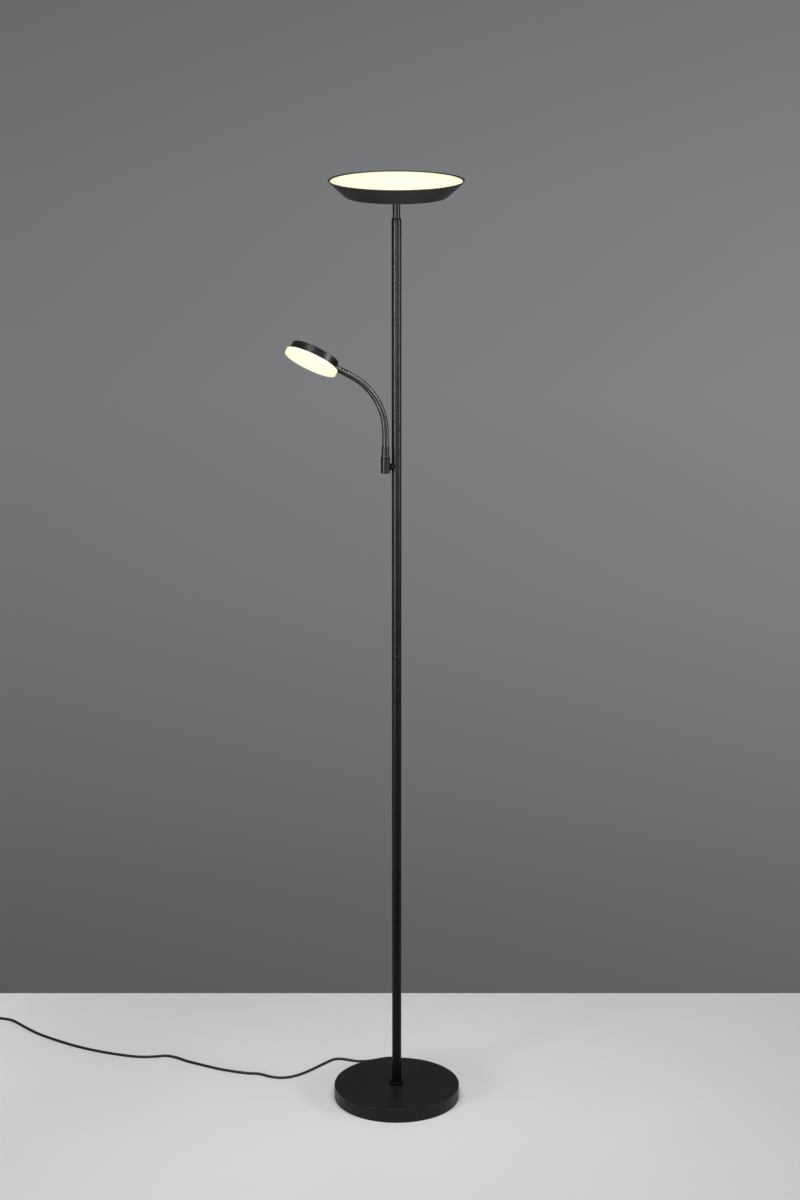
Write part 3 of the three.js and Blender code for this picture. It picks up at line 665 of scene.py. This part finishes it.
def add_pins():
    """Two round pins with rounded tips, each in a half-length insulating sleeve."""
    pins = []
    foot, tip = -0.6 * MM, 1.6 * MM
    for node in ("plug_pin_1", "plug_pin_2"):
        low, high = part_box(node)
        radius = (high.x - low.x) / 2
        length = high.y - low.y
        sleeve = 0.5 * length
        slim = radius - 0.1 * MM
        profile = [(0, foot), (radius, foot), (radius, sleeve - 0.3 * MM), (slim, sleeve)]
        profile.append((slim, length - tip))
        for step in range(1, PIN_STEPS):
            angle = math.radians(90) * step / PIN_STEPS
            share = PIN_FLAT + (1 - PIN_FLAT) * math.cos(angle)
            profile.append((slim * share, length - tip * (1 - math.sin(angle))))
        profile += [(slim * PIN_FLAT, length), (0, length)]
        place = Matrix.Translation(((low.x + high.x) / 2, high.y, (low.z + high.z) / 2))
        place = place @ Matrix.Rotation(math.radians(90), 4, "X")
        pin = piece_of(lathe(profile, 32), node.replace("plug_", "brass_"), plug_vinyl, place)
        pin.data.materials.append(brass)
        for face in pin.data.polygons:
            face.material_index = 1 if face.center.z > sleeve - 0.2 * MM else 0
        pins.append(settle(pin, "stand", "pin_brass", node))
    return pins


# ---------------------------------------------------------------- base, pole and bowl

SHEET = 1.6 * MM  # wall of the base cover
POLE_WALL = 1.0 * MM
RING_WALL = 2.2 * MM  # the two dimmer rings
NIPPLE_HOLE = 5.3 * MM  # radius of the holes that clear a 10 mm threaded tube
CORD_HOLE = 5.2 * MM


def add_base():
    """The pressed cover with a hole for the cord, the foam pad under it and the pole's collar."""
    radius, foot, top = size_of("base_cover")
    hole = NIPPLE_HOLE
    outline = [(hole, top - SHEET), (radius - SHEET, top - SHEET), (radius - SHEET, foot)]
    outline += [(radius, foot), (radius, top), (hole, top)]
    profile = fillet(outline, [0, 1 * MM, 0.3 * MM, 0.5 * MM, 1.7 * MM, 0], 7)
    cover = piece_of(lathe(profile, 160), "base_shell", powder_black)
    low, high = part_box("strain_relief")
    half = 10 * MM
    bore = lathe([(0, -half), (CORD_HOLE, -half), (CORD_HOLE, half), (0, half)], 48)
    place = Matrix.Translation((0, radius, (low.z + high.z) / 2))
    place = place @ Matrix.Rotation(math.radians(90), 4, "X")
    cut(cover, piece_of(bore, "cord_hole", powder_black, place))
    settle(cover, "stand", "powder_black", "base_cover")

    radius, foot, top = size_of("base_pad")
    pad = fillet([(0, foot), (radius, foot), (radius, top), (0, top)], [0, 0.5 * MM, 0.3 * MM, 0])
    settle(piece_of(lathe(pad, 128), "foam_pad", foam_black), "stand", "foam_black", "base_pad")

    radius, foot, top = size_of("pole_collar")
    outline = [(hole, foot), (radius, foot), (radius, top), (hole, top)]
    collar = fillet(outline, [0, 0.3 * MM, 1.5 * MM, 0], 7)
    settle(piece_of(lathe(collar, 96), "foot_collar", satin_black), "stand", "satin_black", "pole_collar")


def add_tube(name, node, wall, edge, body="stand"):
    """A round tube with eased rims in place of a CAD one."""
    radius, foot, top = size_of(node)
    inner = radius - wall
    profile = fillet([(inner, foot), (radius, foot), (radius, top), (inner, top)], [0, edge, edge, 0], 4)
    tube = piece_of(lathe(profile, 72), name, satin_black)
    return settle(tube, body, "satin_black", node)


def add_pole():
    """The tubes, the dimmer rings, the bowl's stem and the bush that it stands in."""
    rim = 0.35 * MM
    for part in ("lower", "middle", "upper", "top"):
        add_tube(f"tube_{part}", f"pole_{part}", POLE_WALL, rim)
    add_tube("reader_dimmer_ring", "dimmer_ring_reader", RING_WALL, 0.5 * MM, "ring_reader")
    add_tube("bowl_dimmer_ring", "dimmer_ring_bowl", RING_WALL, 0.5 * MM, "ring_bowl")
    add_tube("bowl_stem", "bowl_neck", 1.3 * MM, 0.3 * MM)

    radius, foot, top = size_of("neck_bush")
    neck = size_of("bowl_neck")[0]
    hole, plug = NIPPLE_HOLE, radius - POLE_WALL - 0.3 * MM
    seat = size_of("pole_top")[2] + 0.25 * MM
    outline = [(hole, foot), (plug, foot), (plug, seat), (radius, seat), (radius, top - 1.8 * MM)]
    outline += [(neck + 0.3 * MM, top), (hole, top)]
    profile = fillet(outline, [0, 0, 0, 0.3 * MM, 1 * MM, 0.3 * MM, 0], 5)
    settle(piece_of(lathe(profile, 72), "stem_bush", satin_black), "stand", "satin_black", "neck_bush")


BOWL_FLOOR_RADIUS = 92.5 * MM
BOWL_SLOPE = 1.2  # radius gained per rise at the floor
BOWL_CURL = 4.5  # how fast that slope eases off, per metre
BOWL_SHEET = 1.5 * MM  # thickness of the floor
BOWL_WALL = 2.15 * MM  # thickness of the slanting side, measured level
BOWL_STEPS = 14


def bowl_side(rise):
    """The bowl's outer radius at a rise above its floor."""
    return BOWL_FLOOR_RADIUS + BOWL_SLOPE * rise - BOWL_CURL * rise * rise


def add_bowl():
    """The spun bowl, open upwards."""
    foot, top = size_of("bowl")[1:]
    height = top - foot
    hole = NIPPLE_HOLE
    rises = [height * i / BOWL_STEPS for i in range(BOWL_STEPS + 1)]
    outside = [(bowl_side(rise), foot + rise) for rise in rises]
    inside = [(radius - BOWL_WALL, z) for radius, z in reversed(outside[1:])]
    floor_top = foot + BOWL_SHEET
    inner_floor = bowl_side(BOWL_SHEET) - BOWL_WALL - 0.4 * MM
    outline = [(hole, foot), *outside, *inside, (inner_floor, floor_top), (hole, floor_top)]
    plain = [0] * (BOWL_STEPS - 1)
    radii = [0, 1.2 * MM] + plain + [0.35 * MM, 0.5 * MM] + plain + [0, 0]
    # The floor's corner is softened by an arc that replaces the first stretch of the side.
    profile = fillet(outline[:2] + outline[3:], radii[:2] + radii[3:], 6)
    bowl = piece_of(lathe(profile, 192), "bowl_shade", powder_black)
    settle(bowl, "stand", "powder_black", "bowl")


def add_bowl_opal():
    """The lit disc that closes the bowl, slightly crowned, with an edge that follows the bowl's side."""
    foot = size_of("bowl")[1]
    radius, low, high = size_of("bowl_diffuser")
    crown = 0.8 * MM
    slant = bowl_side(high - crown - foot) - bowl_side(low - foot)
    outline = [(0, low), (radius - slant, low), (radius, high - crown), (0, high)]
    profile = fillet(outline, [0, 0.3 * MM, 0.4 * MM, 0], 4)
    glow = opal_glow("opal_bowl", radius)
    settle(piece_of(lathe(profile, 160), "bowl_opal", glow), "stand", "opal", "bowl_diffuser")


# ---------------------------------------------------------------- reading arm

HOSE_RADIUS = 6.1 * MM
FERRULE_BORE = 6.25 * MM
FERRULE_LIP = 6.9 * MM  # outer radius at its top
SLEEVE_RADIUS = 6.2 * MM
HOSE_BEND = 123.6 * MM  # radius of the hose's bend
HOSE_ROOT = 18 * MM  # length inside the ferrule and the barrel, about
HOSE_SLACK = 0.7 * MM  # how far the last piece runs on into the head
HOSE_SIDES = 36
RIBS = 12  # windings of the hose between two of its joints
RIB_DEPTH = 0.28 * MM
RIB_SAMPLES = 10  # rings of points for each winding
RIB_ROUND = 0.8  # power that fattens the windings' crowns, where 1 is a plain sine
HOSE_PIECES = 8
HEAD_RADIUS = 46.1 * MM
HEAD_DEPTH = 15.5 * MM
HEAD_ROLL = math.radians(19.1)  # turn of the head about the hose's end, face towards the front
HEAD_DROP = 7.5 * MM  # hose's end above the seam between casing and opal
HEAD_WALL = 1.6 * MM
OPAL_RADIUS = 50.6 * MM
OPAL_DEPTH = 9.5 * MM
OPAL_LIP = 2.2 * MM  # thickness of its side and face
OPAL_LEDGE = 1.6 * MM  # thickness of its rim inside the casing's edge


def joint_named(name):
    """The frame's record of a joint."""
    return next(joint for joint in frame["joints"] if joint["name"] == name)


# The hose's middle line, from the ferrule's top to the head's hinge: up, round a bend and straight on.
holder_low, holder_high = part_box("arm_holder")
holder = (holder_low + holder_high) / 2
ferrule_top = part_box("holder_ferrule")[1].z
hose_start = Vector((holder.x, holder.y, ferrule_top))
hose_end = Vector(joint_named("reader_turn")["pos_m"])
along = Vector(joint_named("reader_turn")["axis"]).normalized()
outwards = Vector((along.x, along.y, 0)).normalized()
sweep_angle = along.angle(UP)
reach = (hose_end - hose_start).dot(outwards) - HOSE_BEND * (1 - math.cos(sweep_angle))
after_bend = reach / math.sin(sweep_angle)
rise = hose_end.z - hose_start.z - HOSE_BEND * math.sin(sweep_angle) - after_bend * math.cos(sweep_angle)
hose_length = rise + HOSE_BEND * sweep_angle + after_bend


def hose_at(distance):
    """The hose's middle at a distance from the ferrule's top."""
    lean = min(max((distance - rise) / HOSE_BEND, 0), sweep_angle)
    straight = max(distance - rise - HOSE_BEND * sweep_angle, 0)
    out = HOSE_BEND * (1 - math.cos(lean)) + straight * math.sin(lean)
    up = min(distance, rise) + HOSE_BEND * math.sin(lean) + straight * math.cos(lean)
    return hose_start + outwards * out + UP * up


def hose_piece(name, start, end, rib, slack=0):
    """A wound length of hose: one rounded wire beside the next, in a shallow spiral."""
    count = round((end - start) / rib) * RIB_SAMPLES
    distances = [start + (end - start) * i / count for i in range(count + 1)]
    if slack:
        distances.append(end + slack)

    def radius_at(i, angle):
        phase = math.pi * (distances[i] / rib) + angle / 2
        return HOSE_RADIUS - RIB_DEPTH * (1 - abs(math.sin(phase)) ** RIB_ROUND)

    body = sweep([hose_at(d) for d in distances], radius_at, HOSE_SIDES)
    return piece_of(body, name, hose_black, sharp=75)


def add_hose():
    """The root inside the holder, and a length of hose for each joint, baked in place."""
    pitch = hose_length / HOSE_PIECES
    rib = pitch / RIBS
    root = hose_piece("hose_root", -round(HOSE_ROOT / rib) * rib, 0, rib)
    settle(root, "stand", "hose_black", "gooseneck_0")
    for k in range(1, HOSE_PIECES + 1):
        start, end = (k - 1) * pitch, k * pitch
        slack = HOSE_SLACK if k == HOSE_PIECES else 0
        piece = hose_piece(f"hose_{k}", start, end, rib, slack)
        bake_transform(piece)
        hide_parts(f"gooseneck_{k}")


HOLDER_RADIUS = (holder_high.x - holder_low.x) / 2
holder_middle = Vector((holder.x, holder.y, 0))
holder_place = Matrix.Translation(holder_middle)
stub_low, stub_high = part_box("arm_stub")
stub_radius = (stub_high.z - stub_low.z) / 2
stub_hole = stub_radius + 0.3 * MM
stub_height = Vector((0, 0, (stub_low.z + stub_high.z) / 2))
stub_frame = aimed(stub_height, holder_middle.normalized())  # Z runs from the pole's axis along the stub
reach_out = holder_middle.length  # from the pole's axis to the holder's


def add_barrel():
    """The barrel that holds the hose, bored from above, with a hole for the stub in its side."""
    foot, top = holder_low.z, holder_high.z
    radius, bore, floor = HOLDER_RADIUS, 5 * MM, 3 * MM
    outline = [(0, foot), (radius, foot), (radius, top), (bore, top)]
    outline += [(bore, foot + floor), (0, foot + floor)]
    profile = fillet(outline, [0, 0.9 * MM, 0.5 * MM, 0.3 * MM, 0, 0], 5)
    barrel = piece_of(lathe(profile, 80), "holder_barrel", satin_black, holder_place)
    hole_foot, hole_top = reach_out - radius - 1 * MM, reach_out - 2 * MM
    hole = lathe([(0, hole_foot), (stub_hole, hole_foot), (stub_hole, hole_top), (0, hole_top)], 32)
    cut(barrel, piece_of(hole, "stub_hole", satin_black, stub_frame))
    settle(barrel, "stand", "satin_black", "arm_holder")


def add_ferrule():
    """The tapered collar on the barrel, round the hose's foot."""
    low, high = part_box("holder_ferrule")
    bore, wide, slim = FERRULE_BORE, (high.x - low.x) / 2, FERRULE_LIP
    outline = [(bore, low.z), (wide, low.z), (wide - 0.3 * MM, low.z + 6 * MM)]
    outline += [(slim, high.z), (bore, high.z)]
    profile = fillet(outline, [0, 0.4 * MM, 6 * MM, 0.4 * MM, 0], 5)
    ferrule = piece_of(lathe(profile, 80), "hose_ferrule", satin_black, holder_place)
    settle(ferrule, "stand", "satin_black", "holder_ferrule")


def add_stub():
    """The tube that runs from inside the pole into the barrel."""
    inner, start, end = 2 * MM, 3 * MM, reach_out - HOLDER_RADIUS + 3 * MM
    outline = [(inner, start), (stub_radius, start), (stub_radius, end), (inner, end)]
    profile = fillet(outline, [0, 0.2 * MM, 0.2 * MM, 0])
    tube = piece_of(lathe(profile, 48), "arm_tube", satin_black, stub_frame)
    settle(tube, "stand", "satin_black", "arm_stub")


def add_sleeve():
    """The sleeve on the stub, its ends hollowed to sit against the pole and the barrel."""
    rim, start, end = SLEEVE_RADIUS, 6 * MM, reach_out - 5 * MM
    outline = [(stub_hole, start), (rim, start), (rim, end), (stub_hole, end)]
    sleeve = piece_of(lathe(outline, 64), "arm_collar", satin_black, stub_frame)
    seat, half = 0.15 * MM, 20 * MM
    pole_radius = size_of("pole_upper")[0]
    for radius, x, y in ((pole_radius, 0, 0), (HOLDER_RADIUS, holder_middle.x, holder_middle.y)):
        reach = radius + seat
        tool = lathe([(0, -half), (reach, -half), (reach, half), (0, half)], 96)
        where = Matrix.Translation(stub_height + Vector((x, y, 0)))
        cut(sleeve, piece_of(tool, "upright_tool", satin_black, where))
    settle(sleeve, "stand", "satin_black", "arm_sleeve")


def add_head():
    """The flat round head: a casing behind, an opal puck in front, and the hose coming in at its rim."""
    flat_face = outwards * math.cos(sweep_angle) - UP * math.sin(sweep_angle)
    side = along.cross(flat_face)
    face = flat_face * math.cos(HEAD_ROLL) + side * math.sin(HEAD_ROLL)
    radius, depth = HEAD_RADIUS, HEAD_DEPTH
    place = Matrix.Translation(hose_end + along * radius + face * HEAD_DROP)
    place = place @ (-face).to_track_quat("Z", "Y").to_matrix().to_4x4()

    seam = 0.3 * MM
    inner = radius - HEAD_WALL
    outline = [(inner, seam), (radius, seam), (radius, depth), (0, depth), (0, depth - HEAD_WALL)]
    outline += [(inner, depth - HEAD_WALL)]
    profile = fillet(outline, [0, 0.3 * MM, 1.4 * MM, 0, 0, 0.8 * MM], 7)
    casing = piece_of(lathe(profile, 144), "reader_shell", satin_black, place)
    settle(casing, "reader", "satin_black", "reader_casing")

    radius, depth, lip = OPAL_RADIUS, OPAL_DEPTH, OPAL_LIP
    ledge = inner - 4.4 * MM
    outline = [(0, -depth), (radius, -depth), (radius, 0), (ledge, 0), (ledge, -OPAL_LEDGE)]
    outline += [(radius - lip, -OPAL_LEDGE), (radius - lip, -depth + lip), (0, -depth + lip)]
    profile = fillet(outline, [0, 0.8 * MM, 0.5 * MM, 0, 0, 0, 0, 0], 5)
    opal = piece_of(lathe(profile, 144), "reader_opal", opal_glow("opal_reader", radius), place)
    settle(opal, "reader", "opal", "reader_diffuser")


# ---------------------------------------------------------------- inside pieces, kept from the CAD

INSIDE = {
    cast_iron: ("base_weight",),
    zinc_steel: (
        "foot_washer", "foot_nut", "foot_nipple", "foot_insert", "joint_insert_lower", "joint_insert_upper",
        "bowl_nipple", "bowl_washer", "bowl_nut", "arm_nut",
    ),
    screw_steel: ("plate_screw_1", "plate_screw_2", "plate_screw_3"),
    aluminium: ("dimmer_core", "led_plate"),
    board_green: ("dimmer_board",),
    board_white: ("bowl_led_board", "reader_led_board"),
    driver_white: ("bowl_driver", "reader_driver"),
    lead_white: ("supply_lead", "bowl_lead"),
}


def finish_inside():
    """Gives each CAD node that stays its material."""
    for material, nodes in INSIDE.items():
        for node in nodes:
            mesh = frame["nodes"][node].data
            mesh.materials.clear()
            mesh.materials.append(material)


# ---------------------------------------------------------------- studio

FLOOR_BACK = 0.512  # where the white floor board ends behind the lamp
FLOOR_FRONT = -0.62
FLOOR_WIDTH = 14.0
FLOOR_THICK = 0.04


def add_floor():
    """A white board, too short in front for the pole to mirror it."""
    bm = bmesh.new()
    bmesh.ops.create_cube(bm, size=1)
    bmesh.ops.scale(bm, vec=(FLOOR_WIDTH, FLOOR_BACK - FLOOR_FRONT, FLOOR_THICK), verts=bm.verts)
    bmesh.ops.translate(bm, vec=(0, (FLOOR_BACK + FLOOR_FRONT) / 2, -FLOOR_THICK / 2), verts=bm.verts)
    piece_of(bm, "floor", floor_paper(), sharp=20)


def add_softbox(name, place, target, width, height, power, spread):
    """A rectangular light aimed at a target; power in watts, spread in degrees."""
    data = bpy.data.lights.new(name, "AREA")
    data.shape = "RECTANGLE"
    data.size, data.size_y = width, height
    data.energy = power
    data.spread = math.radians(spread)
    light = bpy.data.objects.new(name, data)
    light.location = place
    light.rotation_euler = (Vector(target) - Vector(place)).to_track_quat("-Z", "Y").to_euler()
    bpy.context.scene.collection.objects.link(light)


# Grey of the backdrop by how far down it lies: the sine of the angle below the horizon, and the grey.
BACKDROP = [
    (0.05, 0.15),
    (0.15, 0.198),
    (0.21, 0.212),
    (0.27, 0.191),
    (0.33, 0.153),
    (0.36, 0.13),
    (0.39, 0.115),
]
COOL = (0.985, 1, 1.02)  # the backdrop's tone: a little blue
SIDE_REACH = 0.12  # sine of the angle to each side over which the backdrop's strength changes
SIDE_STRENGTH = (0.86, 1.08)  # on the left and on the right
# The surround that lights the lamp, from in front to behind: position of each end, and its colour.
SURROUND = [
    (0.55, (0.025, 0.025, 0.025)),
    (0.9, (0.15, 0.15, 0.152)),
]


def linked(links, made, *pairs):
    """Links each output to an input of a new node and gives the node back."""
    for output, socket in pairs:
        links.new(output, made.inputs[socket])
    return made


def graded(tree, factor, stops):
    """A colour ramp over a factor from (position, colour) stops."""
    ramp = tree.nodes.new("ShaderNodeValToRGB")
    elements = ramp.color_ramp.elements
    while len(elements) < len(stops):
        elements.new(0.5)
    for element, (position, colour) in zip(elements, stops):
        element.position = position
        element.color = (*colour, 1)
    return linked(tree.links, ramp, (factor, "Fac")).outputs["Color"]


def scaled(tree, value, factor, shift):
    """A value times a factor plus a shift."""
    sum_node = tree.nodes.new("ShaderNodeMath")
    sum_node.operation = "MULTIPLY_ADD"
    sum_node.inputs[1].default_value = factor
    sum_node.inputs[2].default_value = shift
    return linked(tree.links, sum_node, (value, 0)).outputs["Value"]


def side_strength(tree, sideways):
    """The backdrop's strength, which rises from left to right."""
    across = tree.nodes.new("ShaderNodeMapRange")
    across.inputs["From Min"].default_value = -SIDE_REACH
    across.inputs["From Max"].default_value = SIDE_REACH
    across.inputs["To Min"].default_value = SIDE_STRENGTH[0]
    across.inputs["To Max"].default_value = SIDE_STRENGTH[1]
    return linked(tree.links, across, (sideways, "Value")).outputs["Result"]


def add_world():
    """A grey backdrop for the camera, and a dimmer, softer surround that lights the lamp."""
    world = bpy.data.worlds.new("studio")
    world.use_nodes = True
    bpy.context.scene.world = world
    tree = world.node_tree
    nodes, links = tree.nodes, tree.links
    nodes.clear()
    place = nodes.new("ShaderNodeTexCoord")
    split = linked(links, nodes.new("ShaderNodeSeparateXYZ"), (place.outputs["Generated"], "Vector"))
    stops = [(depth, tuple(grey * tone for tone in COOL)) for depth, grey in BACKDROP]
    backdrop = graded(tree, scaled(tree, split.outputs["Z"], -1, 0), stops)
    surround = graded(tree, scaled(tree, split.outputs["Y"], 0.5, 0.5), SURROUND)
    strength = side_strength(tree, split.outputs["X"])
    seen = linked(links, nodes.new("ShaderNodeBackground"), (backdrop, "Color"), (strength, "Strength"))
    lit = linked(links, nodes.new("ShaderNodeBackground"), (surround, "Color"))
    path = nodes.new("ShaderNodeLightPath")
    mix = linked(
        links,
        nodes.new("ShaderNodeMixShader"),
        (path.outputs["Is Camera Ray"], "Fac"),
        (lit.outputs["Background"], 1),
        (seen.outputs["Background"], 2),
    )
    linked(links, nodes.new("ShaderNodeOutputWorld"), (mix.outputs["Shader"], "Surface"))


# Each light: name, place, target, width, height, power in watts, spread in degrees.
LIGHTS = [
    ("overhead", (0, -1.2, 3.6), (0, -0.6, 0), 3.2, 2.6, 122, 180),
    ("left_strip", (-1.7, -1.8, 1.15), (0, 0, 1.15), 0.5, 1.4, 12, 40),
    ("right_strip", (2.3, -1.0, 1.7), (0, 0, 1.55), 0.9, 2.0, 16, 50),
    ("front_fill", (0.3, -3.2, 1.2), (0, 0, 1.6), 1.2, 0.7, 3, 40),
    ("high_right", (1.65, -0.5, 3.0), (-0.1, 0, 1.42), 0.3, 0.3, 1.5, 20),
    ("high_left", (-0.9, -1.6, 2.6), (-0.15, 0, 1.45), 0.4, 0.5, 1.1, 22),
]


def add_lights():
    """The studio's six lights."""
    for light in LIGHTS:
        add_softbox(*light)


add_camera()
add_cord()
add_base()
add_pole()
add_bowl()
add_bowl_opal()
add_barrel()
add_ferrule()
add_stub()
add_sleeve()
add_hose()
add_head()
finish_inside()
add_floor()
add_world()
add_lights()
bpy.context.scene.view_settings.view_transform = "Standard"
